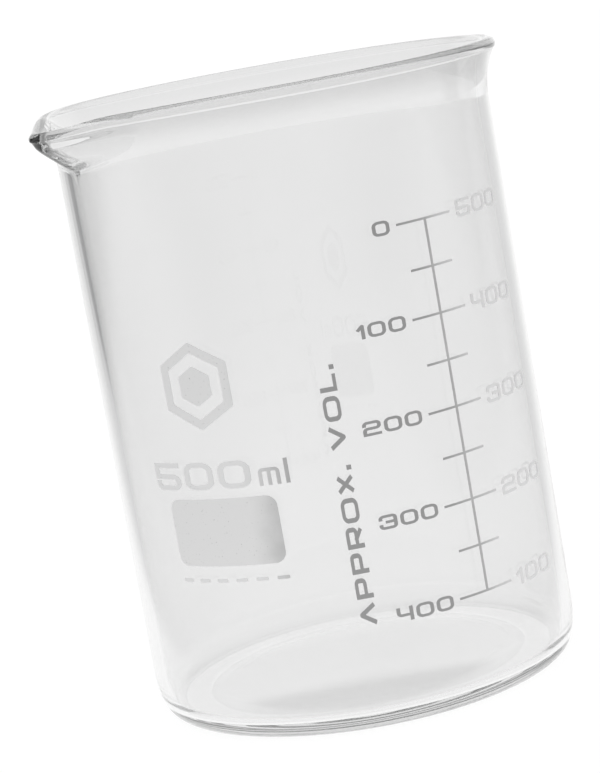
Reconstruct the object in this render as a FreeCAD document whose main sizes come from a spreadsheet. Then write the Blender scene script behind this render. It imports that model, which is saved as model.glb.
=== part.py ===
"""Low-form 500 ml laboratory beaker with a pouring spout and a fired-enamel volume scale.

The vessel stands on z = 0 with its axis on Z, and the spout points along -X.
Angles round the wall are turns from the front (-Y) towards +X, in degrees.
"""
import FreeCAD, Part
import math
import os

from FreeCAD import Matrix, Placement, Rotation, Vector
from Sketcher import Constraint

doc = FreeCAD.newDocument("beaker")

# ---------------------------------------------------------------- driving dimensions
SIZES = [
    # glass vessel, mm
    ("outside_diameter", 88.0, "straight part of the wall"),
    ("overall_height", 126.0, "foot to the top of the rim"),
    ("wall_thickness", 2.4, "straight part of the wall"),
    ("floor_thickness", 3.2, "glass between foot and floor"),
    ("foot_inner_radius", 33.0, "edge of the shallow push-up"),
    ("push_up_height", 1.8, "rise of the underside at the axis"),
    ("heel_height", 10.0, "where the wall starts to turn in"),
    ("heel_upper_radius", 28.0, "gentle turn below the wall"),
    ("heel_lower_radius", 4.5, "tight turn onto the foot"),
    ("inner_heel_radius", 3.0, "turn between the inner wall and the floor"),
    ("rim_bead_radius", 1.45, "fire-polished edge"),
    ("rim_bead_centre_radius", 45.4, "axis to the middle of the bead"),
    ("flare_start_height", 114.5, "where the outside leaves the straight wall"),
    ("inner_flare_start_height", 116.0, "where the inside leaves the straight wall"),
    # spout
    ("spout_reach", 51.9, "axis to the outermost point of the lip"),
    ("spout_lip_radius", 1.3, "half the thickness of the spout's edge"),
    ("spout_wall", 2.1, "glass at the spout"),
    ("spout_nose_radius", 5.0, "nose of the spout, middle of the glass, seen from above"),
    ("spout_root_height", 114.0, "where the keel leaves the wall"),
    ("spout_root_reach", 43.0, "outer keel at the root"),
    ("spout_middle_height", 118.9, "height of the middle section"),
    ("spout_middle_reach", 48.7, "outer keel at the middle section"),
    # enamel print
    ("enamel_thickness", 0.06, "fired ink on the outside wall"),
    ("line_height", 0.45, "thickness of a graduation line"),
    ("spine_width", 0.55, "width of the scale's upright line"),
    ("scale_angle", 8.2, "upright line of the scale"),
    ("major_line_sweep", 17.2, "100 ml lines"),
    ("minor_line_sweep", 13.3, "50 ml lines"),
    ("level_offset", 3.94, "floor height of an equal straight cylinder"),
    ("small_cap_height", 2.8, "numerals left of the scale"),
    ("large_cap_height", 3.4, "numerals right of the scale"),
    ("small_clearance", 8.1, "upright line to the numerals on its left"),
    ("large_clearance", 8.5, "upright line to the numerals on its right"),
    ("legend_angle", -24.7, "middle of the upright legend"),
    ("legend_height", 47.1, "middle of the upright legend"),
    ("legend_cap_height", 3.3, "letters of the upright legend"),
    ("capacity_start_angle", -78.0, "left end of the capacity legend"),
    ("capacity_height", 51.6, "foot of the capacity legend"),
    ("capacity_cap_height", 5.4, "figures of the capacity legend"),
    ("unit_gap", 1.5, "figures to unit in the capacity legend"),
    ("unit_height", 3.4, "the capacity unit's m"),
    ("unit_tall_height", 4.9, "the capacity unit's l"),
    ("panel_angle", -58.4, "middle of the writing panel"),
    ("panel_height", 43.0, "middle of the writing panel"),
    ("panel_width", 24.6, "along the wall"),
    ("panel_depth", 13.4, "up the wall"),
    ("panel_corner_radius", 2.2, "corners of the writing panel"),
    ("mark_angle", -58.9, "middle of the hexagon mark"),
    ("mark_height", 72.0, "middle of the hexagon mark"),
    ("mark_width", 15.0, "hexagon mark across its flats"),
    ("mark_hole_width", 11.4, "hole in the hexagon mark"),
    ("mark_heart_width", 6.9, "solid middle of the hexagon mark"),
    ("mark_corner_radius", 0.6, "corners of the hexagon mark"),
    ("dash_row_height", 33.4, "row of dashes below the panel"),
    ("dash_length", 2.6, "one dash, along the wall"),
    ("dash_width", 0.7, "one dash, up the wall"),
]

MAJOR_VOLUMES = [500, 400, 300, 200, 100]    # ml held below each long line
POURED_VOLUMES = [0, 100, 200, 300, 400]     # ml poured out of a full 500 ml
MINOR_VOLUMES = [450, 350, 250, 150]         # ml held below each short line
DASH_COUNT = 6


def fill_sheet():
    """Put the driving dimensions in the spreadsheet, one aliased cell each."""
    book = doc.addObject("Spreadsheet::Sheet", "sizes")
    for row, (alias, value, note) in enumerate(SIZES, start=1):
        book.set(f"A{row}", alias)
        book.set(f"B{row}", str(value))
        book.set(f"C{row}", note)
        book.setAlias(f"B{row}", alias)
    doc.recompute()
    return book


sheet = fill_sheet()


def size(alias):
    """A driving dimension as a number, for shapes that are worked out in code."""
    return float(sheet.get(alias))


OUTER_RADIUS = size("outside_diameter") / 2
INNER_RADIUS = OUTER_RADIUS - size("wall_thickness")
UP = Vector(0, 0, 1)
FRONT = -90        # the front, -Y, as an angle from +X
CLEAR = 2.0        # how far a cut runs past the glass
KEEL_SLOPE = 1.38  # level width of the spout's sloping wall, over its thickness
ROOT_INSET = 1.0   # how deep the spout's flanks start inside the wall
OUTER_TEXT = "sizes.outside_diameter / 2"
INNER_TEXT = "(sizes.outside_diameter / 2 - sizes.wall_thickness)"
ENAMEL_TEXT = f"{OUTER_TEXT} + sizes.enamel_thickness"


# ---------------------------------------------------------------- sketch helpers
START, END, CENTRE = 1, 2, 3      # point numbers on a sketch edge
ORIGIN = (-1, 1)                  # the sketch's own origin point
X_AXIS, Y_AXIS = -1, -2           # the sketch's own axes


def origin_feature(body, role):
    return next(f for f in body.Origin.OriginFeatures if f.Role == role)


def new_sketch(body, name, role, height=None):
    """A sketch on one of the body's origin planes, raised by a sheet expression if given."""
    sketch = body.newObject("Sketcher::SketchObject", name)
    sketch.AttachmentSupport = [(origin_feature(body, role), "")]
    sketch.MapMode = "FlatFace"
    if height:
        sketch.setExpression("AttachmentOffset.Base.z", height)
    return sketch


def arc(centre, radius, start, end):
    """A counter-clockwise arc in sketch coordinates; angles in degrees."""
    circle = Part.Circle(Vector(centre[0], centre[1], 0), UP, radius)
    return Part.ArcOfCircle(circle, math.radians(start), math.radians(end))


def line(start, end):
    return Part.LineSegment(Vector(*start, 0), Vector(*end, 0))


def direction(origin, target):
    """Direction from one sketch point to another, in degrees."""
    return math.degrees(math.atan2(target[1] - origin[1], target[0] - origin[0]))


def polar(centre, radius, degrees):
    """The point at a radius and direction from a centre."""
    turn = math.radians(degrees)
    return (centre[0] + radius * math.cos(turn), centre[1] + radius * math.sin(turn))


def join(sketch, kind, pairs):
    """Join edge ends: each pair is (edge, point, edge, point)."""
    for pair in pairs:
        sketch.addConstraint(Constraint(kind, *pair))


def bind(sketch, kind, reference, value, expression):
    """Add a dimension at its present value and tie it to a sheet expression."""
    index = sketch.addConstraint(Constraint(kind, *reference, value))
    sketch.setExpression(f"Constraints[{index}]", expression)


def bind_point(sketch, kind, point, value, expression):
    """Tie a point's distance from the sketch origin, along one axis, to a sheet expression."""
    bind(sketch, kind, (*ORIGIN, *point), value, expression)


# ---------------------------------------------------------------- glass vessel
def heel(wall_radius, top, upper, lower, floor):
    """Centres and turning angle of the two arcs between a wall and a floor."""
    turn = math.degrees(math.asin((top - floor - lower) / (upper - lower)))
    upper_centre = (wall_radius - upper, top)
    lower_centre = polar(upper_centre, upper - lower, -turn)
    return upper_centre, lower_centre, turn


def dome(edge_radius, edge_height, rise):
    """A shallow dome's arc, from its edge to the axis."""
    radius = (edge_radius ** 2 + rise ** 2) / (2 * rise)
    centre = (0, edge_height + rise - radius)
    return arc(centre, radius, direction(centre, (edge_radius, edge_height)), 90)


def outside_profile(body):
    """Half outline of the vessel as if it were solid glass."""
    sketch = new_sketch(body, "outside_profile", "XZ_Plane")
    height = size("overall_height")
    bead = size("rim_bead_radius")
    bead_centre = (size("rim_bead_centre_radius"), height - bead)
    upper = size("heel_upper_radius")
    lower = size("heel_lower_radius")
    heel_top = size("heel_height")
    upper_centre, lower_centre, turn = heel(OUTER_RADIUS, heel_top, upper, lower, 0)
    flare_start = size("flare_start_height")
    run = bead_centre[0] - OUTER_RADIUS
    rise = bead_centre[1] - flare_start
    flare = (run ** 2 + rise ** 2 - bead ** 2) / (2 * (run + bead))
    flare_centre = (OUTER_RADIUS + flare, flare_start)
    lean = direction(flare_centre, bead_centre)
    push_up = size("push_up_height")
    foot_edge = size("foot_inner_radius")
    sketch.addGeometry([
        dome(foot_edge, 0, push_up),
        line((foot_edge, 0), (lower_centre[0], 0)),
        arc(lower_centre, lower, -90, -turn),
        arc(upper_centre, upper, -turn, 0),
        line((OUTER_RADIUS, heel_top), (OUTER_RADIUS, flare_start)),
        arc(flare_centre, flare, lean, 180),
        arc(bead_centre, bead, lean - 180, 90),
        line((bead_centre[0], height), (0, height)),
        line((0, height), (0, push_up)),
    ])
    under, foot, low_arc, high_arc, wall, flared, rim, top, axis = range(9)
    join(sketch, "Coincident", [
        (under, START, foot, START), (top, END, axis, START), (axis, END, under, END),
    ])
    join(sketch, "Tangent", [
        (foot, END, low_arc, START), (low_arc, END, high_arc, START),
        (high_arc, END, wall, START), (wall, END, flared, END),
        (flared, START, rim, START), (rim, END, top, START),
    ])
    join(sketch, "PointOnObject", [
        (axis, START, Y_AXIS), (axis, END, Y_AXIS), (under, CENTRE, Y_AXIS),
        (foot, START, X_AXIS), (foot, END, X_AXIS),
    ])
    join(sketch, "Horizontal", [(top,)])
    join(sketch, "Vertical", [(wall,)])
    bind(sketch, "Radius", (low_arc,), lower, "sizes.heel_lower_radius")
    bind(sketch, "Radius", (high_arc,), upper, "sizes.heel_upper_radius")
    bind(sketch, "Radius", (rim,), bead, "sizes.rim_bead_radius")
    bind_point(sketch, "DistanceX", (wall, START), OUTER_RADIUS, "sizes.outside_diameter / 2")
    bind_point(sketch, "DistanceX", (foot, START), foot_edge, "sizes.foot_inner_radius")
    bind_point(sketch, "DistanceX", (rim, CENTRE), bead_centre[0], "sizes.rim_bead_centre_radius")
    bind_point(sketch, "DistanceY", (under, END), push_up, "sizes.push_up_height")
    bind_point(sketch, "DistanceY", (wall, START), heel_top, "sizes.heel_height")
    bind_point(sketch, "DistanceY", (wall, END), flare_start, "sizes.flare_start_height")
    bind_point(sketch, "DistanceY", (top, START), height, "sizes.overall_height")
    return sketch


def cavity_profile(body):
    """Half outline of the space inside, carried up past the rim."""
    sketch = new_sketch(body, "cavity_profile", "XZ_Plane")
    height = size("overall_height")
    above = height + CLEAR
    bead = size("rim_bead_radius")
    bead_centre = (size("rim_bead_centre_radius"), height - bead)
    upper = size("heel_upper_radius") - size("wall_thickness")
    lower = size("inner_heel_radius")
    heel_top = size("heel_height")
    floor = size("floor_thickness")
    upper_centre, lower_centre, turn = heel(INNER_RADIUS, heel_top, upper, lower, floor)
    flare_start = size("inner_flare_start_height")
    run = bead_centre[0] - INNER_RADIUS
    rise = bead_centre[1] - flare_start
    flare = (run ** 2 + rise ** 2 - bead ** 2) / (2 * (run - bead))
    flare_centre = (INNER_RADIUS + flare, flare_start)
    lean = direction(flare_centre, bead_centre)
    push_up = size("push_up_height")
    foot_edge = size("foot_inner_radius")
    sketch.addGeometry([
        dome(foot_edge, floor, push_up),
        line((foot_edge, floor), (lower_centre[0], floor)),
        arc(lower_centre, lower, -90, -turn),
        arc(upper_centre, upper, -turn, 0),
        line((INNER_RADIUS, heel_top), (INNER_RADIUS, flare_start)),
        arc(flare_centre, flare, lean, 180),
        arc(bead_centre, bead, 90, lean),
        line((bead_centre[0], height), (bead_centre[0], above)),
        line((bead_centre[0], above), (0, above)),
        line((0, above), (0, floor + push_up)),
    ])
    base, flat, low_arc, high_arc, wall, flared, rim, riser, top, axis = range(10)
    join(sketch, "Coincident", [
        (base, START, flat, START), (rim, START, riser, START), (riser, END, top, START),
        (top, END, axis, START), (axis, END, base, END),
    ])
    join(sketch, "Tangent", [
        (flat, END, low_arc, START), (low_arc, END, high_arc, START),
        (high_arc, END, wall, START), (wall, END, flared, END), (flared, START, rim, END),
    ])
    join(sketch, "PointOnObject", [
        (axis, START, Y_AXIS), (axis, END, Y_AXIS), (base, CENTRE, Y_AXIS),
    ])
    join(sketch, "Horizontal", [(flat,), (top,)])
    join(sketch, "Vertical", [(wall,), (riser,), (rim, CENTRE, rim, START)])
    bind(sketch, "Radius", (low_arc,), lower, "sizes.inner_heel_radius")
    bind(sketch, "Radius", (high_arc,), upper, "sizes.heel_upper_radius - sizes.wall_thickness")
    bind(sketch, "Radius", (rim,), bead, "sizes.rim_bead_radius")
    bind_point(sketch, "DistanceX", (wall, START), INNER_RADIUS,
               "sizes.outside_diameter / 2 - sizes.wall_thickness")
    bind_point(sketch, "DistanceX", (flat, START), foot_edge, "sizes.foot_inner_radius")
    bind_point(sketch, "DistanceX", (rim, CENTRE), bead_centre[0], "sizes.rim_bead_centre_radius")
    bind_point(sketch, "DistanceY", (base, START), floor, "sizes.floor_thickness")
    bind_point(sketch, "DistanceY", (base, END), floor + push_up,
               "sizes.floor_thickness + sizes.push_up_height")
    bind_point(sketch, "DistanceY", (wall, START), heel_top, "sizes.heel_height")
    bind_point(sketch, "DistanceY", (wall, END), flare_start, "sizes.inner_flare_start_height")
    bind_point(sketch, "DistanceY", (rim, START), height, "sizes.overall_height")
    bind_point(sketch, "DistanceY", (top, START), above, f"sizes.overall_height + {CLEAR}")
    return sketch


def beak_outline(body, name, height, reach, nose, ring, closed=True):
    """Plan of the spout at one height: two straight flanks that leave a ring and meet in a nose.

    height, reach, nose and ring are (value, sheet expression) pairs: the level, the axis to the
    nose's outermost point, the nose's radius, and the radius of the ring the flanks are tangent to.
    """
    sketch = new_sketch(body, name, "XY_Plane", height[1])
    centre = (nose[0] - reach[0], 0)
    spread = math.degrees(math.acos((ring[0] - nose[0]) / (reach[0] - nose[0])))
    near, far = 180 - spread, 180 + spread
    edges = [
        line(polar((0, 0), ring[0], near), polar(centre, nose[0], near)),
        arc(centre, nose[0], near, far),
        line(polar(centre, nose[0], far), polar((0, 0), ring[0], far)),
    ]
    if closed:
        edges.append(line(polar((0, 0), ring[0], far), polar((0, 0), ring[0], near)))
    sketch.addGeometry(edges)
    guide = sketch.addGeometry(Part.Circle(Vector(0, 0, 0), UP, ring[0]), True)
    first, tip, second = range(3)
    join(sketch, "Coincident", [(guide, CENTRE, *ORIGIN)])
    join(sketch, "Tangent", [
        (first, END, tip, START), (tip, END, second, START),
        (first, START, guide), (second, END, guide),
    ])
    join(sketch, "PointOnObject", [(tip, CENTRE, X_AXIS)])
    if closed:
        join(sketch, "Coincident", [(second, END, 3, START), (3, END, first, START)])
    bind(sketch, "Radius", (guide,), ring[0], ring[1])
    bind(sketch, "Radius", (tip,), nose[0], nose[1])
    bind_point(sketch, "DistanceX", (tip, CENTRE), centre[0], f"{nose[1]} - ({reach[1]})")
    return sketch


def spout_sections(body, side):
    """Root, middle and mouth outlines of the spout, on its outer (+1) or inner (-1) face."""
    name = "outer" if side > 0 else "inner"
    half = size("spout_wall") / 2
    half_text = f"({side} * sizes.spout_wall / 2)"
    slope = 0 if side > 0 else size("spout_wall") * KEEL_SLOPE
    slope_text = "0" if side > 0 else f"(sizes.spout_wall * {KEEL_SLOPE})"
    inset = ROOT_INSET if side > 0 else size("wall_thickness") + ROOT_INSET
    inset_text = f"{ROOT_INSET}" if side > 0 else f"(sizes.wall_thickness + {ROOT_INSET})"
    nose = (size("spout_nose_radius"), "sizes.spout_nose_radius")
    wall_text = "sizes.outside_diameter / 2"
    levels = [
        ("root", "spout_root_height", "spout_root_reach", inset + 1, f"({inset_text} + 1)"),
        ("middle", "spout_middle_height", "spout_middle_reach", inset, inset_text),
    ]
    sections = []
    for level, height, reach, drop, drop_text in levels:
        sections.append(beak_outline(
            body, f"{name}_{level}",
            (size(height), f"sizes.{height}"),
            (size(reach) - slope, f"sizes.{reach} - {slope_text}"),
            nose,
            (OUTER_RADIUS - drop, f"{wall_text} - {drop_text}"),
        ))
    lip = size("spout_lip_radius")
    sections.append(beak_outline(
        body, f"{name}_mouth",
        (size("overall_height") - size("rim_bead_radius"),
         "sizes.overall_height - sizes.rim_bead_radius"),
        (size("spout_reach") - lip + side * half,
         f"sizes.spout_reach - sizes.spout_lip_radius + {half_text}"),
        (nose[0] + side * half, f"sizes.spout_nose_radius + {half_text}"),
        (size("rim_bead_centre_radius") + side * half,
         f"sizes.rim_bead_centre_radius + {half_text}"),
    ))
    return sections


def loft(body, kind, name, sections):
    feature = body.newObject(kind, name)
    feature.Profile = sections[0]
    feature.Sections = [(section, [""]) for section in sections[1:]]
    feature.Ruled = False
    return feature


def build_vessel():
    """The blown glass: one revolved wall with the spout drawn out of its rim."""
    body = doc.addObject("PartDesign::Body", "glass_vessel")
    body.Label = "glass_vessel"
    axis = (origin_feature(body, "Z_Axis"), [""])
    blank = body.newObject("PartDesign::Revolution", "vessel_blank")
    blank.Profile = outside_profile(body)
    blank.ReferenceAxis = axis
    blank.Angle = 360
    doc.recompute()
    report_volume("blank", body)
    loft(body, "PartDesign::AdditiveLoft", "spout_outside", spout_sections(body, 1))
    doc.recompute()
    report_volume("with the spout's outside", body)
    cavity = body.newObject("PartDesign::Groove", "cavity")
    cavity.Profile = cavity_profile(body)
    cavity.ReferenceAxis = axis
    cavity.Angle = 360
    doc.recompute()
    report_volume("hollowed", body)
    inner = spout_sections(body, -1)
    loft(body, "PartDesign::SubtractiveLoft", "spout_channel", inner)
    doc.recompute()
    report_volume("with the spout's channel", body)
    mouth = body.newObject("PartDesign::Pocket", "spout_mouth")
    mouth.Profile = inner[-1]
    mouth.Reversed = True
    mouth.setExpression("Length", f"sizes.rim_bead_radius + {CLEAR}")
    doc.recompute()
    report_volume("with the spout's mouth", body)
    add_spout_lip(body)
    doc.recompute()
    report_volume("finished", body)
    return body


def add_spout_lip(body):
    """The rounded edge that runs round the spout's mouth."""
    lip = size("spout_lip_radius")
    nose = size("spout_nose_radius")
    ring = size("rim_bead_centre_radius")
    reach = size("spout_reach") - lip
    level = size("overall_height") - size("rim_bead_radius")
    level_expression = "sizes.overall_height - sizes.rim_bead_radius"
    reach_expression = "sizes.spout_reach - sizes.spout_lip_radius"
    path = beak_outline(
        body, "lip_path",
        (level, level_expression), (reach, reach_expression),
        (nose, "sizes.spout_nose_radius"), (ring, "sizes.rim_bead_centre_radius"),
        closed=False,
    )
    section = new_sketch(body, "lip_section", "XZ_Plane")
    section.AttachmentOffset = Placement(Vector(0, 0, 0), Rotation(Vector(0, 1, 0), 1))
    section.setExpression(
        "AttachmentOffset.Rotation.Angle",
        "180 deg - acos((sizes.rim_bead_centre_radius - sizes.spout_nose_radius)"
        f" / ({reach_expression} - sizes.spout_nose_radius))")
    section.addGeometry(Part.Circle(Vector(ring, level, 0), UP, lip))
    bind(section, "Radius", (0,), lip, "sizes.spout_lip_radius")
    bind_point(section, "DistanceX", (0, CENTRE), ring, "sizes.rim_bead_centre_radius")
    bind_point(section, "DistanceY", (0, CENTRE), level, level_expression)
    doc.recompute()
    pipe = body.newObject("PartDesign::AdditivePipe", "spout_lip")
    pipe.Profile = section
    pipe.Spine = (path, ["Edge1", "Edge2", "Edge3"])


def report_volume(stage, body):
    print(f"glass {stage}: {body.Shape.Volume / 1000:.2f} cm3")


# ---------------------------------------------------------------- enamel lines
def tube_sector(name, radius, height, sweep):
    """A solid pie-slice cylinder, its sizes given as sheet expressions."""
    cylinder = doc.addObject("Part::Cylinder", name)
    cylinder.setExpression("Radius", radius)
    cylinder.setExpression("Height", height)
    cylinder.setExpression("Angle", sweep)
    return cylinder


def cut(name, base, tool):
    item = doc.addObject("Part::Cut", name)
    item.Label = name
    item.Base = base
    item.Tool = tool
    return item


def enamel_sector(name, low, height, sweep, turn):
    """A thin patch on the outside wall: its lower level, height, sweep and middle turn."""
    skin = tube_sector(f"{name}_skin", ENAMEL_TEXT, height, sweep)
    core = tube_sector(f"{name}_core", OUTER_TEXT, height, sweep)
    for item in (skin, core):
        item.setExpression("Placement.Base.z", low)
        item.setExpression("Placement.Rotation.Angle", f"{FRONT} + {turn} - ({sweep}) / 2")
    return cut(name, skin, core)


def build_enamel_skin():
    """The thin sleeve round the wall that every printed shape is cut from."""
    skin = tube_sector("sleeve_skin", ENAMEL_TEXT, "sizes.overall_height", "360")
    core = tube_sector("sleeve_core", OUTER_TEXT, "sizes.overall_height", "360")
    return cut("enamel_sleeve", skin, core)


def level_text(volume):
    """Height of the liquid at a volume in ml, as a sheet expression."""
    return f"(sizes.level_offset + {volume * 1000} / (pi * {INNER_TEXT} ^ 2))"


def level(volume):
    return size("level_offset") + volume * 1000 / (math.pi * INNER_RADIUS ** 2)


def build_lines():
    """The graduation lines, and the upright line that joins them."""
    lines = []
    for kind, volumes in (("major", MAJOR_VOLUMES), ("minor", MINOR_VOLUMES)):
        for volume in volumes:
            lines.append(enamel_sector(
                f"{kind}_line_{volume}_ml",
                f"{level_text(volume)} - sizes.line_height / 2",
                "sizes.line_height",
                f"sizes.{kind}_line_sweep",
                "sizes.scale_angle",
            ))
    top, bottom = level_text(MAJOR_VOLUMES[0]), level_text(MAJOR_VOLUMES[-1])
    upright = enamel_sector(
        "upright_line", bottom, f"{top} - {bottom}",
        "sizes.spine_width / sizes.outside_diameter * 360 / pi",
        "sizes.scale_angle",
    )
    crossings = doc.addObject("Part::MultiFuse", "line_crossings")
    crossings.Shapes = lines
    return lines + [cut("scale_upright", upright, crossings)]


# ---------------------------------------------------------------- enamel characters
# A stroke is the middle line of one pen stroke: (x, y, corner radius) points in a box one wide
# and one high, radii as shares of the height, and whether it closes on its first point.
ROUND = 0.30  # corners of a nought
BEND = 0.20   # other round corners
TIP = 0.22    # length of a short hooked end
POINT = 0.01  # a sharp corner, blunted by the pen alone
WAIST = 0.38  # foot of a bowl
NOUGHT = [([(0, 0, ROUND), (1, 0, ROUND), (1, 1, ROUND), (0, 1, ROUND)], True)]
HOOK_TOP = [(0, 1 - TIP, 0), (0, 1, BEND), (1, 1, BEND)]
HOOK_FOOT = [(1, 0, BEND), (0, 0, BEND), (0, TIP, 0)]
BOWL = [
    ([(0, 0, 0), (0, 1, 0), (0.5, 1, 0)], False),
    ([(0.3, 1, 0), (1, 1, BEND), (1, WAIST, BEND), (0, WAIST, 0)], False),
]
STROKES = {
    "0": NOUGHT,
    "1": [([(0, 0.70, 0), (1, 1, POINT), (1, 0, 0)], False)],
    "2": [(HOOK_TOP + [(1, 0.5, BEND), (0, 0.5, BEND), (0, 0, 0), (1, 0, 0)], False)],
    "3": [(HOOK_TOP + [(1, 0.5, 0), (0.45, 0.5, 0)], False),
          ([(1, 0.5, 0)] + HOOK_FOOT, False)],
    "4": [([(0, 1, 0), (0, 0.42, BEND), (1, 0.42, 0)], False),
          ([(1, 1, 0), (1, 0, 0)], False)],
    "5": [([(1, 1, 0), (0, 1, 0), (0, 0.5, 0), (1, 0.5, BEND)] + HOOK_FOOT, False)],
    "A": [([(0.05, 0.1, 0), (0.5, 1, POINT), (0.95, 0.1, 0)], False)],
    "P": BOWL,
    "R": BOWL + [([(0.45, WAIST, 0), (0.9, 0.08, 0)], False)],
    "O": NOUGHT,
    "X": [([(0.08, 0.08, 0), (0.92, 0.92, 0)], False),
          ([(0.08, 0.92, 0), (0.92, 0.08, 0)], False)],
    "V": [([(0.05, 0.9, 0), (0.5, 0, POINT), (0.95, 0.9, 0)], False)],
    "L": [([(0, 1, 0), (0, 0, 0), (1, 0, 0)], False)],
    ".": [([(0, 0, 0), (0, 0.1, 0)], False)],
    "m": [([(0, 0, 0), (0, 1, BEND), (1, 1, BEND), (1, 0, 0)], False),
          ([(0.5, 1, 0), (0.5, 0, 0)], False)],
    "l": [([(0, 0, 0), (0, 1, 0)], False)],
}
# narrower characters' widths, as shares of a nought's
WIDTHS = {"1": 0.43, "4": 0.90, "A": 0.93, "P": 0.84, "R": 0.87, "X": 0.76, "V": 0.97,
          "L": 0.69, ".": 0.19, " ": 0.28}


class PrintFace:
    """A squarish print: box of a nought, thickness of upright and level strokes, spacing."""

    def __init__(self, width, height, upright, level, gap):
        self.width = width
        self.height = height
        self.upright = upright
        self.level = level
        self.gap = gap

    def advance(self, character):
        return self.width * WIDTHS.get(character, 1)

    def length(self, text):
        return sum(self.advance(c) for c in text) + self.gap * (len(text) - 1)


SMALL_NUMERALS = PrintFace(3.65, size("small_cap_height"), 0.74, 0.52, 0.60)
LARGE_NUMERALS = PrintFace(4.50, size("large_cap_height"), 0.80, 0.56, 0.90)
LEGEND_LETTERS = PrintFace(4.85, size("legend_cap_height"), 0.92, 0.66, 0.88)
CAPACITY_FIGURES = PrintFace(6.95, size("capacity_cap_height"), 1.32, 0.95, 1.15)
UNIT_LOWER = PrintFace(4.30, size("unit_height"), 0.76, 0.66, 1.00)
UNIT_TALL = PrintFace(0.80, size("unit_tall_height"), 0.80, 0.80, 0)


def crossing(point, ahead, other, other_ahead):
    """Where two lines cross, each given by a point and a direction."""
    twist = ahead.x * other_ahead.y - ahead.y * other_ahead.x
    if abs(twist) < 1e-9:
        return other
    gap = other - point
    return point + ahead * ((gap.x * other_ahead.y - gap.y * other_ahead.x) / twist)


def beside(points, closed, shift):
    """A path moved to its left by shift, its corners kept concentric."""
    spots = [Vector(x, y, 0) for x, y, _ in points]
    last = len(spots) - 1
    steps = [(spots[(i + 1) % len(spots)] - spots[i]).normalize() for i in range(len(spots))]
    moved = []
    for i, spot in enumerate(spots):
        before = steps[i - 1] if closed or i > 0 else steps[0]
        after = steps[i] if closed or i < last else steps[i - 1]
        corner = crossing(
            spot + Vector(-before.y, before.x, 0) * shift, before,
            spot + Vector(-after.y, after.x, 0) * shift, after)
        turn = before.x * after.y - before.y * after.x
        radius = points[i][2]
        if radius:
            radius = max(radius - shift * math.copysign(1, turn), 0)
        moved.append((corner.x, corner.y, radius))
    return moved


def rounded_wire(points):
    """A closed outline through (x, y, corner radius) points."""
    spots = [Vector(x, y, 0) for x, y, _ in points]
    corners = []
    for i, spot in enumerate(spots):
        back = (spots[i - 1] - spot).normalize()
        ahead = (spots[(i + 1) % len(spots)] - spot).normalize()
        half_angle = back.getAngle(ahead) / 2
        radius = points[i][2]
        if radius < 1e-6 or half_angle > math.pi / 2 - 1e-6:
            corners.append((spot, None, spot))
            continue
        reach = radius / math.tan(half_angle)
        depth = radius / math.sin(half_angle) - radius
        middle = spot + (back + ahead).normalize() * depth
        corners.append((spot + back * reach, middle, spot + ahead * reach))
    edges = []
    for i, (enter, middle, leave) in enumerate(corners):
        if middle:
            edges.append(Part.Arc(enter, middle, leave).toShape())
        following = corners[(i + 1) % len(corners)][0]
        if leave.distanceToPoint(following) > 1e-6:
            edges.append(Part.LineSegment(leave, following).toShape())
    return Part.Wire(edges)


def lengthened(points, extra):
    """An open path run on by extra at both ends."""
    longer = list(points)
    for end, neighbour in ((0, 1), (-1, -2)):
        tip = Vector(points[end][0], points[end][1], 0)
        inner = Vector(points[neighbour][0], points[neighbour][1], 0)
        tip += (tip - inner).normalize() * extra
        longer[end] = (tip.x, tip.y, 0)
    return longer


def stroke_face(points, closed, width):
    """The flat shape of one pen stroke, square at its ends."""
    if not closed:
        points = lengthened(points, width / 2)
    left = beside(points, closed, width / 2)
    right = beside(points, closed, -width / 2)
    if closed:
        return Part.Face(rounded_wire(right)).cut(Part.Face(rounded_wire(left)))
    return Part.Face(rounded_wire(left + right[::-1]))


def character_block(character, face):
    """A character as a deep block, its lower left corner at the origin.

    It is drawn narrow with one stroke width, then widened until the upright strokes are right.
    """
    stretch = face.upright / face.level
    wide = (face.advance(character) - face.upright) / stretch
    high = face.height - face.level
    strokes = []
    for points, closed in STROKES[character]:
        path = [(x * wide, y * high, radius * high) for x, y, radius in points]
        strokes.append(stroke_face(path, closed, face.level).extrude(UP * OUTER_RADIUS))
    block = strokes[0]
    if len(strokes) > 1:
        block = block.multiFuse(strokes[1:]).removeSplitter()
    widening = Matrix()
    widening.scale(Vector(stretch, 1, 1))
    block = block.transformGeometry(widening)
    return block.translated(Vector(face.upright / 2, face.level / 2, 0))


def on_wall(block, turn, height, reads_upwards=False):
    """Stand a block across the wall at a turn and height."""
    origin = Vector(0, 0, 0)
    if reads_upwards:
        block = block.rotated(origin, UP, 90)
    block = block.rotated(origin, Vector(1, 0, 0), 90)
    block = block.translated(Vector(0, -OUTER_RADIUS / 2, height))
    return block.rotated(origin, UP, turn)


def turn_along(distance):
    """The turn that a distance along the outside wall takes up."""
    return math.degrees(distance / OUTER_RADIUS)


def write_level(text, face, start_turn, foot):
    """Blocks for text that runs round the wall from its left end."""
    blocks = []
    travel = 0
    for character in text:
        advance = face.advance(character)
        block = character_block(character, face).translated(Vector(-advance / 2, 0, 0))
        blocks.append(on_wall(block, start_turn + turn_along(travel + advance / 2), foot))
        travel += advance + face.gap
    return blocks


def write_upwards(text, face, turn, middle):
    """Blocks for text that runs up the wall, centred on a height."""
    blocks = []
    travel = -face.length(text) / 2
    for character in text:
        if character != " ":
            block = character_block(character, face)
            block = block.translated(Vector(travel, -face.height / 2, 0))
            blocks.append(on_wall(block, turn, middle, reads_upwards=True))
        travel += face.advance(character) + face.gap
    return blocks


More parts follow.
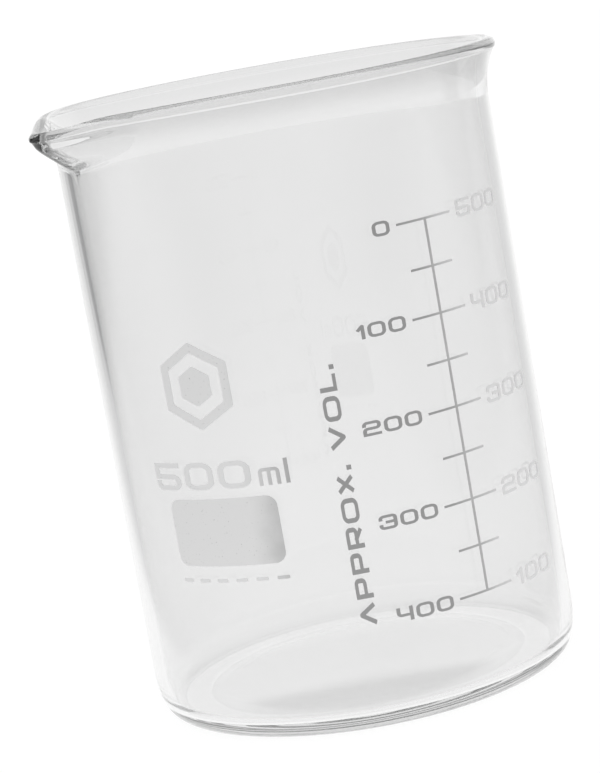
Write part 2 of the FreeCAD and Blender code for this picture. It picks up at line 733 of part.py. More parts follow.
def printed(name, blocks):
    """The node for some blocks: the part of them that lies in the enamel sleeve."""
    stencil = doc.addObject("Part::Feature", f"{name}_stencil")
    stencil.Shape = Part.makeCompound(blocks)
    node = doc.addObject("Part::Common", name)
    node.Label = name
    node.Base = stencil
    node.Tool = enamel_sleeve
    return node


def build_numerals():
    """Volume poured out, left of the scale, and volume held, right of it."""
    nodes = []
    for held, poured in zip(MAJOR_VOLUMES, POURED_VOLUMES):
        run = size("small_clearance") + SMALL_NUMERALS.length(str(poured))
        start = size("scale_angle") - turn_along(run)
        foot = level(held) - SMALL_NUMERALS.height / 2
        nodes.append(printed(
            f"poured_numeral_{poured}",
            write_level(str(poured), SMALL_NUMERALS, start, foot)))
        start = size("scale_angle") + turn_along(size("large_clearance"))
        foot = level(held) - LARGE_NUMERALS.height / 2
        nodes.append(printed(
            f"held_numeral_{held}",
            write_level(str(held), LARGE_NUMERALS, start, foot)))
    return nodes


def build_legends():
    """The upright legend left of the scale, and the capacity legend."""
    legend = write_upwards(
        "APPROX. VOL.", LEGEND_LETTERS, size("legend_angle"), size("legend_height"))
    foot = size("capacity_height")
    figures_turn = size("capacity_start_angle")
    unit_turn = figures_turn + turn_along(CAPACITY_FIGURES.length("500") + size("unit_gap"))
    tall_turn = unit_turn + turn_along(UNIT_LOWER.length("m") + UNIT_LOWER.gap)
    capacity = write_level("500", CAPACITY_FIGURES, figures_turn, foot)
    capacity += write_level("m", UNIT_LOWER, unit_turn, foot)
    capacity += write_level("l", UNIT_TALL, tall_turn, foot)
    return [
        printed("approximate_volume_legend", legend),
        printed("capacity_legend", capacity),
    ]


# ---------------------------------------------------------------- enamel panel and marks
def rectangle_block(width, height, corner):
    """A deep block with rounded corners, centred on the origin."""
    half, rise = width / 2, height / 2
    corners = [(-half, -rise), (half, -rise), (half, rise), (-half, rise)]
    outline = rounded_wire([(x, y, corner) for x, y in corners])
    return Part.Face(outline).extrude(UP * OUTER_RADIUS)


def hexagon_face(across_flats):
    circumradius = across_flats / math.sqrt(3)
    corners = [polar((0, 0), circumradius, 60 * i + 30) for i in range(6)]
    return Part.Face(rounded_wire([(x, y, size("mark_corner_radius")) for x, y in corners]))


def build_writing_panel():
    """The matt patch for pencil notes."""
    chord = 2 * OUTER_RADIUS * math.sin(size("panel_width") / (2 * OUTER_RADIUS))
    block = rectangle_block(chord, size("panel_depth"), size("panel_corner_radius"))
    return printed("writing_panel", [on_wall(block, size("panel_angle"), size("panel_height"))])


def build_hexagon_mark():
    """A plain hexagonal ring round a smaller solid hexagon."""
    ring = hexagon_face(size("mark_width")).cut(hexagon_face(size("mark_hole_width")))
    face = ring.fuse(hexagon_face(size("mark_heart_width")))
    block = face.extrude(UP * OUTER_RADIUS)
    return printed("hexagon_mark", [on_wall(block, size("mark_angle"), size("mark_height"))])


def build_dash_row():
    """A row of plain dashes, as wide as the writing panel."""
    length = size("dash_length")
    width = size("dash_width")
    pitch = (size("panel_width") - length) / (DASH_COUNT - 1)
    blocks = []
    for i in range(DASH_COUNT):
        turn = size("panel_angle") + turn_along((i - (DASH_COUNT - 1) / 2) * pitch)
        dash = rectangle_block(length, width, width / 3)
        blocks.append(on_wall(dash, turn, size("dash_row_height")))
    return printed("dash_row", blocks)


# ---------------------------------------------------------------- build, check and write
glass_vessel = build_vessel()
enamel_sleeve = build_enamel_skin()
nodes = [glass_vessel] + build_lines() + build_numerals() + build_legends()
nodes += [build_writing_panel(), build_hexagon_mark(), build_dash_row()]
doc.recompute()

for item in doc.Objects:
    if {"Invalid", "Error"} & set(item.State):
        raise SystemExit(f"{item.Name} did not compute: {item.getStatusString()}")
os.makedirs("parts", exist_ok=True)
for node in nodes:
    shape = node.Shape
    if shape.isNull() or not shape.isValid() or not shape.Solids:
        raise SystemExit(f"{node.Label} has no valid solid")
    shape.exportStep(f"parts/{node.Label}.step")
    print(f"{node.Label}: {len(shape.Solids)} solids, {shape.Volume:.3f} mm3")
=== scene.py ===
import math

import bpy
from mathutils import Matrix, Vector


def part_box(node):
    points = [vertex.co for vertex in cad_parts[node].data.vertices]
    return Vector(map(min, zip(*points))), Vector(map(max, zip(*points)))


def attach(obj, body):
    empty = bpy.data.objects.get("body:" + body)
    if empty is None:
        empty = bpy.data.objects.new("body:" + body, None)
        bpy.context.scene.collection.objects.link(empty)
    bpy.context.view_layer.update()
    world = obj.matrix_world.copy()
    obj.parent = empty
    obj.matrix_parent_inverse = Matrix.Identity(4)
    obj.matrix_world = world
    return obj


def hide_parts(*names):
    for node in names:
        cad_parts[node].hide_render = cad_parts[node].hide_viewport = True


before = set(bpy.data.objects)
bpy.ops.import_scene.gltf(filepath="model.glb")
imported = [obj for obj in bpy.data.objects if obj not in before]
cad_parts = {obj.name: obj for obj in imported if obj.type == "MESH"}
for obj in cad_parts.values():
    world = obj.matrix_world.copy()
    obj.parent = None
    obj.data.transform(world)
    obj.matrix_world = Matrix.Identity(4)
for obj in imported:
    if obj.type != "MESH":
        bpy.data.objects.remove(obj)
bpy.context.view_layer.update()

MM = 0.001
TINY = 1e-4                # mm: less than this is nothing
LOWEST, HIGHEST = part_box("glass_vessel")

# ---------------------------------------------------------------- glass outline, mm
WALL_RADIUS = 43.985       # a hair under the CAD wall, so that the print lies on the glass
BORE_RADIUS = 41.6
PLAIN_WALL_TOP = 112.0     # below this the spout changes nothing, and the rows lie far apart
HEEL_TOP = 10.0
HEEL_RADIUS = 28.0
TOE_RADIUS = 4.5
INNER_TOE_RADIUS = 3.0
FOOT_EDGE = 33.0
FLOOR = 3.2
PUSH_UP = 1.8
TOP = HIGHEST[2] / MM
BEAD_RADIUS = 1.45
BEAD_REACH = HIGHEST[1] / MM - BEAD_RADIUS
FLARE_START = 114.5
INNER_FLARE_START = 116.0

# spout: (height, reach) of the keel's outside and inside, at its root, middle and mouth
KEEL_OUTSIDE = ((114.2, 43.0), (118.9, 48.7), (124.55, 51.6))
KEEL_INSIDE = ((115.6, 40.8), (118.9, 45.6), (124.55, 49.5))
SPOUT_REACH = -LOWEST[0] / MM
NOSE_RADIUS = 5.0
SPOUT_WALL = 2.1
SPOUT_ANGLE = math.pi      # the spout points along -X
KEEL_SOFTNESS = 0.5        # how gently the wall turns into the keel
KEEL_FADE = 3.0            # how far below its root the keel fades into the wall
RIM_BLEND_FROM = 121.5     # above this the keel eases into the rounded lip
BEAD_STEP = 0.12           # how far the bead stands proud of the flare beneath it
BEAD_STEP_TURN = 8         # degrees of the bead's arc that this step takes
LIP_DROOP = 0.9            # how far the lip hangs down at the nose
LIP_DROOP_TURN = math.radians(60)
NOSE_DROOP = 1.3           # and how much further at its very nose
NOSE_DROOP_TURN = math.radians(24)
LIP_DROOP_FROM = 117.0     # height where the droop begins
SPOUT_TURN = math.radians(32)   # half the turn that the spout takes up, and a little more

# how finely the skin is drawn: steps round the vessel, then along each stretch of its outline
SPOUT_COLUMNS = 96         # over the spout's half turn
PLAIN_COLUMNS = 130        # from there to the far side
DOME_STEPS = 10
HEEL_STEPS = 12            # on each of the heel's two arcs
PLAIN_WALL_STEPS = 4
OUTER_SHOULDER_STEPS = 6   # from the plain wall up to the flare
INNER_SHOULDER_STEPS = 8
FLARE_STEPS = 26
OUTER_BEAD_STEPS = 16
INNER_BEAD_STEPS = 10


def arc_points(centre, radius, start, end, count):
    """Points on an arc, as (distance from the axis, height); angles in degrees."""
    points = []
    for i in range(count + 1):
        turn = math.radians(start + (end - start) * i / count)
        points.append((centre[0] + radius * math.cos(turn), centre[1] + radius * math.sin(turn)))
    return points


def heel_arcs(wall, top, upper, lower, floor):
    """Floor edge up to the wall: the tight toe arc, then the gentle heel arc."""
    turn = math.degrees(math.asin((top - floor - lower) / (upper - lower)))
    upper_centre = (wall - upper, top)
    lean = math.radians(-turn)
    toe = (upper_centre[0] + (upper - lower) * math.cos(lean),
           upper_centre[1] + (upper - lower) * math.sin(lean))
    return (arc_points(toe, lower, -90, -turn, HEEL_STEPS)[:-1]
            + arc_points(upper_centre, upper, -turn, 0, HEEL_STEPS))


def dome_points(edge_height):
    """The floor's shallow push-up, from the axis outwards."""
    radius = (FOOT_EDGE ** 2 + PUSH_UP ** 2) / (2 * PUSH_UP)
    points = []
    for i in range(DOME_STEPS + 1):
        reach = FOOT_EDGE * i / DOME_STEPS
        points.append((reach, edge_height + PUSH_UP - radius + math.sqrt(radius ** 2 - reach ** 2)))
    return points


def flare_arc(wall, start, bead_side, bead_radius):
    """The wall's outward flare into the bead: +1 outside, -1 inside. Its points, and its end's angle."""
    bead_height = TOP - BEAD_RADIUS
    run = BEAD_REACH - wall
    rise = bead_height - start
    radius = (run ** 2 + rise ** 2 - bead_radius ** 2) / (2 * (run + bead_side * bead_radius))
    centre = (wall + radius, start)
    lean = math.degrees(math.atan2(bead_height - start, BEAD_REACH - centre[0]))
    return arc_points(centre, radius, 180, lean, FLARE_STEPS), lean


def straight(reach, low, high, count):
    """Evenly spaced points on a straight wall."""
    return [(reach, low + (high - low) * i / count) for i in range(count + 1)]


def glass_profile():
    """(reach, height, side) points from under the foot, over the rim, to the middle of the floor."""
    bead = (BEAD_REACH, TOP - BEAD_RADIUS)
    outside_flare, outside_lean = flare_arc(WALL_RADIUS, FLARE_START, 1, BEAD_RADIUS - BEAD_STEP)
    inside_flare, inside_lean = flare_arc(BORE_RADIUS, INNER_FLARE_START, -1, BEAD_RADIUS)
    bead_start = outside_lean - 180 + BEAD_STEP_TURN
    outside = dome_points(0)
    outside += heel_arcs(WALL_RADIUS, HEEL_TOP, HEEL_RADIUS, TOE_RADIUS, 0)
    outside += straight(WALL_RADIUS, HEEL_TOP, PLAIN_WALL_TOP, PLAIN_WALL_STEPS)[1:]
    outside += straight(WALL_RADIUS, PLAIN_WALL_TOP, FLARE_START, OUTER_SHOULDER_STEPS)[1:]
    outside += outside_flare[1:]
    outside += arc_points(bead, BEAD_RADIUS, bead_start, 90, OUTER_BEAD_STEPS)
    inside = arc_points(bead, BEAD_RADIUS, 90, inside_lean, INNER_BEAD_STEPS)[1:]
    inside += inside_flare[::-1][1:]
    inside += straight(BORE_RADIUS, INNER_FLARE_START, PLAIN_WALL_TOP, INNER_SHOULDER_STEPS)[1:]
    inside += straight(BORE_RADIUS, PLAIN_WALL_TOP, HEEL_TOP, PLAIN_WALL_STEPS)[1:]
    upper = HEEL_RADIUS - WALL_RADIUS + BORE_RADIUS
    inside += heel_arcs(BORE_RADIUS, HEEL_TOP, upper, INNER_TOE_RADIUS, FLOOR)[::-1][1:]
    inside += dome_points(FLOOR)[::-1]
    return [(r, z, 1) for r, z in outside] + [(r, z, -1) for r, z in inside]


def through(points, height):
    """The parabola through three (height, reach) points."""
    (z0, r0), (z1, r1), (z2, r2) = points
    first = (r1 - r0) / (z1 - z0)
    second = (r2 - r1) / (z2 - z1)
    bend = (second - first) / (z2 - z0)
    return r0 + first * (height - z0) + bend * (height - z0) * (height - z1)


def soft_above(value, floor, softness):
    """value where it is well above floor, easing into floor below it."""
    gap = value - floor
    return floor + (gap + math.sqrt(gap * gap + softness * softness)) / 2


def keel_gain(reach, height, side):
    """How far the spout's nose stands out of the revolved outline at one profile point."""
    mouth = TOP - BEAD_RADIUS
    rim_gain = SPOUT_REACH - BEAD_RADIUS - BEAD_REACH
    if height >= mouth:
        return rim_gain
    keel = KEEL_OUTSIDE if side > 0 else KEEL_INSIDE
    fade_start = keel[0][0] - KEEL_FADE
    if height < fade_start:
        return 0.0
    gain = soft_above(through(keel, height), reach, KEEL_SOFTNESS) - reach
    gain *= smooth((height - fade_start) / KEEL_FADE)
    ease = smooth((height - RIM_BLEND_FROM) / (mouth - RIM_BLEND_FROM))
    return gain * (1 - ease) + rim_gain * ease


def beak_radius(turn, ring, gain, nose):
    """Plan of the spout: distance from the axis at a turn from the spout's direction."""
    centre = ring + gain - nose
    spread = math.acos(min((ring - nose) / centre, 1))
    tangent = math.atan2(nose * math.sin(spread), centre + nose * math.cos(spread))
    turn = abs(turn)
    if turn >= spread:
        return ring
    if turn >= tangent:
        return ring / math.cos(spread - turn)
    return centre * math.cos(turn) + math.sqrt(nose ** 2 - (centre * math.sin(turn)) ** 2)


def smooth(value):
    """0 below 0, 1 above 1, eased between."""
    value = min(max(value, 0.0), 1.0)
    return value * value * (3 - 2 * value)


def droop(turn, height):
    """How far the lip hangs below the rim's plane near the spout's nose."""
    hang = LIP_DROOP * smooth(1 - abs(turn) / LIP_DROOP_TURN)
    hang += NOSE_DROOP * smooth(1 - abs(turn) / NOSE_DROOP_TURN)
    return hang * smooth((height - LIP_DROOP_FROM) / (TOP - LIP_DROOP_FROM))


def column_turns():
    """Turns from the spout's direction: close together round the spout, wider elsewhere."""
    turns = []
    for i in range(SPOUT_COLUMNS + 1):
        turns.append(SPOUT_TURN * i / SPOUT_COLUMNS)
    for i in range(1, PLAIN_COLUMNS):
        turns.append(SPOUT_TURN + (math.pi - SPOUT_TURN) * i / PLAIN_COLUMNS)
    return [-t for t in reversed(turns[1:])] + turns + [math.pi]


def build_glass():
    """One closed skin: the outside, the rim, the inside and the floor."""
    turns = column_turns()
    profile = glass_profile()
    count = len(turns)
    vertices = []
    rows = []
    for reach, height, side in profile:
        if reach < TINY:
            rows.append([len(vertices)] * count)
            vertices.append((0, 0, height * MM))
            continue
        row = []
        gain = keel_gain(reach, height, side)
        if height >= TOP - BEAD_RADIUS:
            nose = NOSE_RADIUS + reach - BEAD_REACH
        else:
            nose = NOSE_RADIUS + side * SPOUT_WALL / 2
        for turn in turns:
            radius = beak_radius(turn, reach, gain, nose) if gain > TINY else reach
            angle = SPOUT_ANGLE + turn
            row.append(len(vertices))
            vertices.append((radius * math.cos(angle) * MM, radius * math.sin(angle) * MM,
                             (height - droop(turn, height)) * MM))
        rows.append(row)
    faces = []
    for lower, upper in zip(rows, rows[1:]):
        for i in range(count):
            j = (i + 1) % count
            corners = [lower[i], lower[j], upper[j], upper[i]]
            face = [c for k, c in enumerate(corners) if c != corners[k - 1]]
            faces.append(face)
    mesh = bpy.data.meshes.new("beaker_glass")
    mesh.from_pydata(vertices, [], faces)
    mesh.validate()
    for polygon in mesh.polygons:
        polygon.use_smooth = True
    glass = bpy.data.objects.new("beaker_glass", mesh)
    bpy.context.collection.objects.link(glass)
    return glass


# ---------------------------------------------------------------- materials
# the glass: tints of its skin, painted light and painted shade among them, and where they lie, in metres
WALL_TINT = (0.899, 0.899, 0.899)
WALL_TINT_CLEAR = (0.907, 0.907, 0.907)
FLARE_PAINTED_SHADE = (0.785, 0.785, 0.785)
KEEL_PAINTED_SHADE = (0.13, 0.13, 0.13)
BASE_PAINTED_LIGHT = (0.943, 0.943, 0.943)
RING_PAINTED_SHADE = (0.868, 0.868, 0.868)
BASE_FADE = (0.002, 0.007)         # heights between which the base's painted light and the ring's painted shade give way to the wall's tint
RING_FADE = (0.0315, 0.0345)       # distances from the axis where the floor becomes the ring of painted shade
FLARE_FADE = (0.1168, 0.1235)      # heights over which the flare's painted shade comes in
KEEL_NEAR_SIDE = (-0.0018, 0.0008)     # Y, across the keel's painted dark streak
KEEL_FAR_SIDE = (0.0028, 0.0050)
KEEL_OUT = (-0.0438, -0.0430)      # X, where the painted streak gives way to the wall
KEEL_UP = (0.1130, 0.1170)         # heights over which the painted streak comes in
GLASS_IOR = 1.473
GLASS_DENSITY = 3.0        # per metre of glass
GLASS_HUE = (0.01, 0.02, 0.015)    # what long paths through the glass leave over
GLASS_ROUGHNESS = (0.0, 0.003)
HAZE_SCALE = 26.0          # about this many patches of haze to a metre
RIPPLE_SCALE = 9.0
RIPPLE_STRENGTH = 0.25
RIPPLE_DEPTH = 0.0006      # m

# the enamel: painted shade, darkest where the print's middle line runs down the wall
INK_MIDDLE_TURN = math.radians(-15)    # from the front, -Y, towards +X
INK_MIDDLE = (math.sin(INK_MIDDLE_TURN), -math.cos(INK_MIDDLE_TURN), 0)
INK_SHADE_FADE = (0.0370, 0.0450)        # distances towards that line over which the print goes from unshaded to painted shade
UNSHADED_INK = (0.82, 0.82, 0.82)
PAINTED_SHADE_INK = (0.34, 0.34, 0.34)
PINHOLE = (0.4, 0.4, 0.4)
PINHOLE_FROM = (0.68, 0.74)        # values of the grain where a pinhole starts and is open
INK_ROUGHNESS = (0.42, 0.55)
CLOUD_SCALE = 180.0
CLOUD_REACH = 0.003        # m: how far the clouds push the edge of the painted shade
GRAIN_SCALE = 2600.0
GRAIN_STRENGTH = 0.3
GRAIN_DEPTH = 0.00002      # m


def new_material(name):
    """An empty node material with one shader: (material, its node tree, the shader)."""
    material = bpy.data.materials.new(name)
    material.use_nodes = True
    tree = material.node_tree
    tree.nodes.clear()
    output = tree.nodes.new("ShaderNodeOutputMaterial")
    shader = tree.nodes.new("ShaderNodeBsdfPrincipled")
    tree.links.new(shader.outputs["BSDF"], output.inputs["Surface"])
    return material, tree, shader


def object_place(tree):
    """Where a point lies on the object, in metres."""
    return tree.nodes.new("ShaderNodeTexCoord").outputs["Object"]


def noise(tree, scale, detail, roughness=0.5):
    """Smooth random values from 0 to 1 over the object."""
    node = tree.nodes.new("ShaderNodeTexNoise")
    node.inputs["Scale"].default_value = scale
    node.inputs["Detail"].default_value = detail
    node.inputs["Roughness"].default_value = roughness
    tree.links.new(object_place(tree), node.inputs["Vector"])
    return node.outputs["Fac"]


def spread(tree, value, low, high, low_out, high_out):
    """Map a value's range onto another, eased, and held at both ends."""
    node = tree.nodes.new("ShaderNodeMapRange")
    node.interpolation_type = "SMOOTHSTEP"
    for name, number in (("From Min", low), ("From Max", high),
                         ("To Min", low_out), ("To Max", high_out)):
        node.inputs[name].default_value = number
    tree.links.new(value, node.inputs["Value"])
    return node.outputs["Result"]


def mix_colours(tree, amount, first, second):
    """From the first colour to the second by a linked amount."""
    node = tree.nodes.new("ShaderNodeMix")
    node.data_type = "RGBA"
    node.inputs["A"].default_value = (*first, 1)
    node.inputs["B"].default_value = (*second, 1)
    tree.links.new(amount, node.inputs["Factor"])
    return node.outputs["Result"]


def blend_over(tree, amount, under, colour):
    """A colour laid over a linked colour by an amount."""
    node = tree.nodes.new("ShaderNodeMix")
    node.data_type = "RGBA"
    tree.links.new(amount, node.inputs["Factor"])
    tree.links.new(under, node.inputs["A"])
    node.inputs["B"].default_value = (*colour, 1)
    return node.outputs["Result"]


def combine(tree, operation, *operands):
    """A math node; each operand is a socket or a number."""
    node = tree.nodes.new("ShaderNodeMath")
    node.operation = operation
    for slot, operand in zip(node.inputs, operands):
        if isinstance(operand, (int, float)):
            slot.default_value = operand
        else:
            tree.links.new(operand, slot)
    return node.outputs["Value"]


def along(tree, vector, direction):
    """How far a vector reaches along a fixed direction."""
    node = tree.nodes.new("ShaderNodeVectorMath")
    node.operation = "DOT_PRODUCT"
    tree.links.new(vector, node.inputs[0])
    node.inputs[1].default_value = direction
    return node.outputs["Value"]


def bump(tree, shader, height, strength, distance):
    """Small relief; distance in metres."""
    node = tree.nodes.new("ShaderNodeBump")
    node.inputs["Strength"].default_value = strength
    node.inputs["Distance"].default_value = distance
    tree.links.new(height, node.inputs["Height"])
    tree.links.new(node.outputs["Normal"], shader.inputs["Normal"])


def distance_from_axis(tree, x, y):
    """How far a point lies from the vessel's axis."""
    square = combine(tree, "POWER", y, 2.0)
    square = combine(tree, "MULTIPLY_ADD", x, x, square)
    return combine(tree, "SQRT", square)


def glass_tint_and_painted_shading(tree, haze):
    """The skin's colour: clear on the wall, with painted light at the base and painted shade at the
    ring, the flare and the keel.
    """
    split = tree.nodes.new("ShaderNodeSeparateXYZ")
    tree.links.new(object_place(tree), split.inputs["Vector"])
    x, y, height = split.outputs["X"], split.outputs["Y"], split.outputs["Z"]
    wall = mix_colours(tree, spread(tree, haze, 0.35, 0.65, 0, 1), WALL_TINT, WALL_TINT_CLEAR)
    # painted light: the base is kept clearer than the wall
    low = spread(tree, height, *BASE_FADE, 1, 0)
    tint = blend_over(tree, low, wall, BASE_PAINTED_LIGHT)
    # painted shade: the ring round the floor, at the heel, is darkened
    beyond_floor = spread(tree, distance_from_axis(tree, x, y), *RING_FADE, 0, 1)
    tint = blend_over(tree, combine(tree, "MULTIPLY", low, beyond_floor), tint, RING_PAINTED_SHADE)
    # painted shade: the flare and the lip above it are darkened
    tint = blend_over(tree, spread(tree, height, *FLARE_FADE, 0, 1), tint, FLARE_PAINTED_SHADE)
    # painted shade: a dark streak down the spout's keel
    keel = combine(tree, "MULTIPLY", spread(tree, y, *KEEL_NEAR_SIDE, 0, 1),
                   spread(tree, y, *KEEL_FAR_SIDE, 1, 0))
    keel = combine(tree, "MULTIPLY", keel, spread(tree, x, *KEEL_OUT, 1, 0))
    keel = combine(tree, "MULTIPLY", keel, spread(tree, height, *KEEL_UP, 0, 1))
    return blend_over(tree, keel, tint, KEEL_PAINTED_SHADE)


def glass_material():
    """Borosilicate: clear, faintly grey, with painted shade at the flare, ring and keel, painted light
    at the base, and the slow ripple of blown glass.
    """
    material, tree, shader = new_material("clear_borosilicate")
    shader.inputs["Transmission Weight"].default_value = 1.0
    shader.inputs["IOR"].default_value = GLASS_IOR
    haze = noise(tree, HAZE_SCALE, 4.0)
    tree.links.new(glass_tint_and_painted_shading(tree, haze), shader.inputs["Base Color"])
    tree.links.new(spread(tree, haze, 0.4, 0.75, *GLASS_ROUGHNESS), shader.inputs["Roughness"])
    bump(tree, shader, noise(tree, RIPPLE_SCALE, 1.0, 0.3), RIPPLE_STRENGTH, RIPPLE_DEPTH)
    absorption = tree.nodes.new("ShaderNodeVolumeAbsorption")
    absorption.inputs["Color"].default_value = (*GLASS_HUE, 1)
    absorption.inputs["Density"].default_value = GLASS_DENSITY
    output = next(n for n in tree.nodes if n.type == "OUTPUT_MATERIAL")
    tree.links.new(absorption.outputs["Volume"], output.inputs["Volume"])
    return material


def enamel_material():
    """Fired white ink: satin, with painted shade greying it towards the middle, and fine pinholes."""
    material, tree, shader = new_material("white_enamel")
    cloud = noise(tree, CLOUD_SCALE, 3.0)
    grain = noise(tree, GRAIN_SCALE, 2.0, 0.6)
    toward_middle = along(tree, object_place(tree), INK_MIDDLE)
    uneven = combine(tree, "MULTIPLY_ADD", cloud, CLOUD_REACH, toward_middle)
    # painted shade: the print is greyed towards its middle line
    ink = mix_colours(tree, spread(tree, uneven, *INK_SHADE_FADE, 0, 1), UNSHADED_INK, PAINTED_SHADE_INK)
    pinholes = spread(tree, grain, *PINHOLE_FROM, 0, 1)
    tree.links.new(blend_over(tree, pinholes, ink, PINHOLE), shader.inputs["Base Color"])
    tree.links.new(spread(tree, cloud, 0.3, 0.7, *INK_ROUGHNESS), shader.inputs["Roughness"])
    bump(tree, shader, grain, GRAIN_STRENGTH, GRAIN_DEPTH)
    return material


# ---------------------------------------------------------------- stage, light and camera
CAMERA_AT = Vector((-245.35, -481.53, 153.02)) * MM
CAMERA_LOOKS_AT = Vector((-3.346, 1.705, 62.165)) * MM
CAMERA_ROLL = math.radians(10.168)
CAMERA_WIDTH_ANGLE = math.radians(12.805)
# fixed directions for laying out the light, named from where the camera stands
TOWARD_CAMERA = Vector((CAMERA_AT.x, CAMERA_AT.y, 0)).normalized()
IMAGE_RIGHT = Vector((-TOWARD_CAMERA.y, TOWARD_CAMERA.x, 0))

FLOOR_RADIUS = 14          # m, far wider than the view
FLOOR_DARKER = (0.09, 0.09, 0.09)
FLOOR_PALER = (0.11, 0.11, 0.11)

# the table's own light, and its share where the table is shaded
FLOOR_GLOW = 0.95
LEFT_DIM = 0.69
RIGHT_DIM = 0.72
FRONT_DIM = 0.65
CARD_DIM = 0.40
# the bright strip behind the beaker: how far out each edge lies, and what each metre behind adds
STRIP_LEFT = (0.085, 0.09)
STRIP_RIGHT = (0.060, 0.135)
SHADE_WIDENS = (0.5, 0.020)    # the shades' width: what each metre away adds, and the least
FRONT_WIDENS = 3.0             # how much faster they widen in front of the beaker
# where each shade starts and is full, in widths beyond the strip's edge
LEFT_SHADE = (0.05, 0.75)
RIGHT_SHADE = (0.08, 0.80)
CARD_SHADE = (0.80, 1.02)
# and in metres from the beaker towards the camera
CARD_FADE = (-0.6, -0.1)
FRONT_SHADE = (0.10, 0.45)

# the room's light by where it comes from, and its share behind the left-hand flag
HORIZON_LIGHT = 1.08
BACK_LIGHT = 1.0
UPPER_LIGHT = 0.3
SIDE_LIGHT = 0.80
FRONT_LIGHT = 0.70
FLAG_DIM = 0.08
# where the light changes: parts of a unit vector up, toward the camera, or to the image's right
HORIZON_BAND = (0.09, 0.18)        # up
BACK_LIGHT_TOP = (0.36, 0.42)      # up
BACK_LIGHT_SIDES = (-0.80, -0.50)  # toward the camera
FRONT_LIGHT_EDGE = (0.2, 0.7)      # toward the camera
FLAG_LEFT_EDGE = (-0.90, -0.80)    # right
FLAG_RIGHT_EDGE = (-0.66, -0.56)   # right
FLAG_NEAR_EDGE = (-0.5, -0.3)      # toward the camera
FLAG_TOP = (0.2, 0.35)             # up


def past_strip(tree, sideways, behind, away, strip):
    """How far a point of the table lies beyond the bright strip's edge, in widths of the shade."""
    at_beaker, per_metre = strip
    edge = combine(tree, "MULTIPLY_ADD", behind, per_metre, at_beaker)
    return combine(tree, "DIVIDE", combine(tree, "SUBTRACT", sideways, edge),
                   combine(tree, "MULTIPLY_ADD", away, *SHADE_WIDENS))


def floor_glow(tree):
    """Bright in a strip behind the beaker, softly shaded at its sides and in front."""
    place = object_place(tree)
    across = along(tree, place, IMAGE_RIGHT)
    nearer = along(tree, place, TOWARD_CAMERA)
    behind = combine(tree, "MAXIMUM", combine(tree, "MULTIPLY", nearer, -1.0), 0.0)
    away = combine(tree, "MAXIMUM", behind, combine(tree, "MULTIPLY", nearer, FRONT_WIDENS))
    left = past_strip(tree, combine(tree, "MULTIPLY", across, -1.0), behind, away, STRIP_LEFT)
    right = past_strip(tree, across, behind, away, STRIP_RIGHT)
    glow = combine(tree, "MULTIPLY", spread(tree, left, *LEFT_SHADE, 1, LEFT_DIM),
                   spread(tree, right, *RIGHT_SHADE, 1, RIGHT_DIM))
    card = combine(tree, "MULTIPLY", spread(tree, left, *CARD_SHADE, 0, 1),
                   spread(tree, nearer, *CARD_FADE, 1, 0))
    glow = combine(tree, "MULTIPLY", glow, spread(tree, card, 0, 1, 1, CARD_DIM))
    return combine(tree, "MULTIPLY", glow, spread(tree, nearer, *FRONT_SHADE, 1, FRONT_DIM))


def floor_material():
    """White card, softly lit from below."""
    material, tree, shader = new_material("pale_floor")
    shade = mix_colours(tree, noise(tree, 3.0, 2.0), FLOOR_DARKER, FLOOR_PALER)
    tree.links.new(shade, shader.inputs["Base Color"])
    shader.inputs["Roughness"].default_value = 1.0
    shader.inputs["Specular IOR Level"].default_value = 0.0
    shader.inputs["Emission Color"].default_value = (1, 1, 1, 1)
    strength = combine(tree, "MULTIPLY", floor_glow(tree), FLOOR_GLOW)
    tree.links.new(strength, shader.inputs["Emission Strength"])
    return material


def build_floor():
    """A round table under the beaker."""
    bpy.ops.mesh.primitive_circle_add(vertices=128, radius=FLOOR_RADIUS, fill_type="NGON")
    floor = bpy.context.object
    floor.name = "floor"
    floor.data.materials.append(floor_material())


def room_light(tree):
    """Brightness of the room in each direction."""
    direction = tree.nodes.new("ShaderNodeTexCoord").outputs["Generated"]
    # from the back (-1) through the sides (0) to the camera's own side (1)
    front = along(tree, direction, TOWARD_CAMERA)
    across = along(tree, direction, IMAGE_RIGHT)
    height = along(tree, direction, (0, 0, 1))
    horizon = spread(tree, height, *HORIZON_BAND, HORIZON_LIGHT, BACK_LIGHT)
    behind = combine(tree, "MULTIPLY", horizon, spread(tree, height, *BACK_LIGHT_TOP, 1, UPPER_LIGHT))
    at_back = spread(tree, front, *BACK_LIGHT_SIDES, 1, 0)
    light = combine(tree, "MULTIPLY", combine(tree, "SUBTRACT", behind, SIDE_LIGHT), at_back)
    light = combine(tree, "MULTIPLY", combine(tree, "ADD", light, SIDE_LIGHT),
                    spread(tree, front, *FRONT_LIGHT_EDGE, 1, FRONT_LIGHT / SIDE_LIGHT))
    flag = combine(tree, "MULTIPLY", spread(tree, across, *FLAG_RIGHT_EDGE, 1, 0),
                   spread(tree, across, *FLAG_LEFT_EDGE, 0, 1))
    flag = combine(tree, "MULTIPLY", flag, spread(tree, front, *FLAG_NEAR_EDGE, 1, 0))
    flag = combine(tree, "MULTIPLY", flag, spread(tree, height, *FLAG_TOP, 1, 0))
    return combine(tree, "MULTIPLY", light, spread(tree, flag, 0, 1, 1, FLAG_DIM))


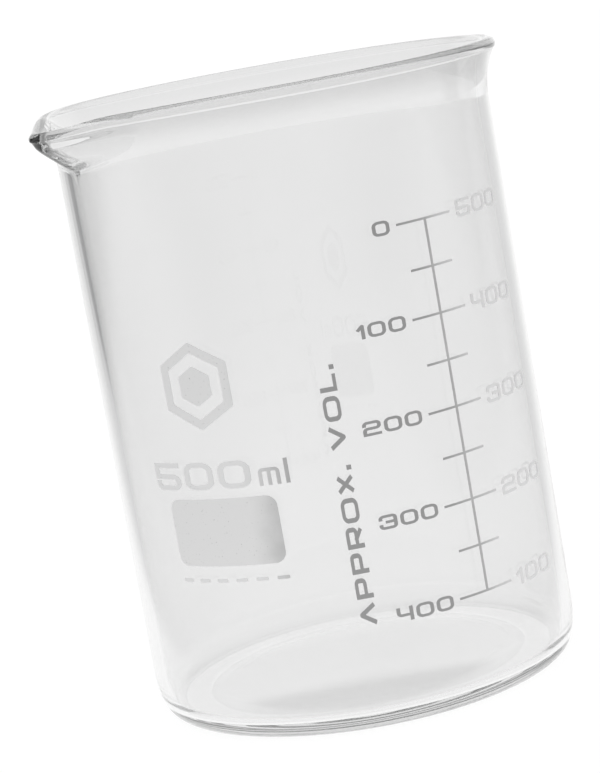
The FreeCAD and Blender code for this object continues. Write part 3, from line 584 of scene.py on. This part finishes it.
def build_world():
    """A soft white room, brightest behind the beaker, with one dark flag at the back on the left."""
    world = bpy.data.worlds.new("studio")
    bpy.context.scene.world = world
    world.use_nodes = True
    tree = world.node_tree
    tree.nodes.clear()
    output = tree.nodes.new("ShaderNodeOutputWorld")
    background = tree.nodes.new("ShaderNodeBackground")
    tree.links.new(background.outputs["Background"], output.inputs["Surface"])
    tree.links.new(room_light(tree), background.inputs["Strength"])
    background.inputs["Color"].default_value = (1, 1, 1, 1)


def build_camera():
    """The photograph's viewpoint: a little above the rim, and rolled."""
    data = bpy.data.cameras.new("camera")
    data.sensor_fit = "HORIZONTAL"
    data.angle = CAMERA_WIDTH_ANGLE
    data.clip_start = 0.01
    data.clip_end = 50
    camera = bpy.data.objects.new("camera", data)
    bpy.context.collection.objects.link(camera)
    forward = (CAMERA_LOOKS_AT - CAMERA_AT).normalized()
    right = forward.cross(Vector((0, 0, 1))).normalized()
    up = right.cross(forward)
    image_right = right * math.cos(CAMERA_ROLL) - up * math.sin(CAMERA_ROLL)
    image_up = right * math.sin(CAMERA_ROLL) + up * math.cos(CAMERA_ROLL)
    turn = Matrix((image_right, image_up, -forward)).transposed()
    camera.matrix_world = Matrix.Translation(CAMERA_AT) @ turn.to_4x4()
    bpy.context.scene.camera = camera


def place_glass():
    """The drawn vessel takes the CAD vessel's place."""
    glass = build_glass()
    glass.data.materials.append(glass_material())
    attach(glass, "root")
    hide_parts("glass_vessel")


def coat_print():
    """Every printed shape keeps its CAD mesh and gets the enamel."""
    enamel = enamel_material()
    for name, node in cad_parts.items():
        if name != "glass_vessel":
            node.data.materials.clear()
            node.data.materials.append(enamel)


def set_light_paths():
    """Clear glass needs many bounces; colours are shown as they are."""
    scene = bpy.context.scene
    scene.view_settings.view_transform = "Standard"
    scene.cycles.max_bounces = 128
    scene.cycles.transmission_bounces = 128
    scene.cycles.glossy_bounces = 128
    scene.cycles.transparent_max_bounces = 32


place_glass()
coat_print()
build_floor()
build_world()
build_camera()
set_light_paths()
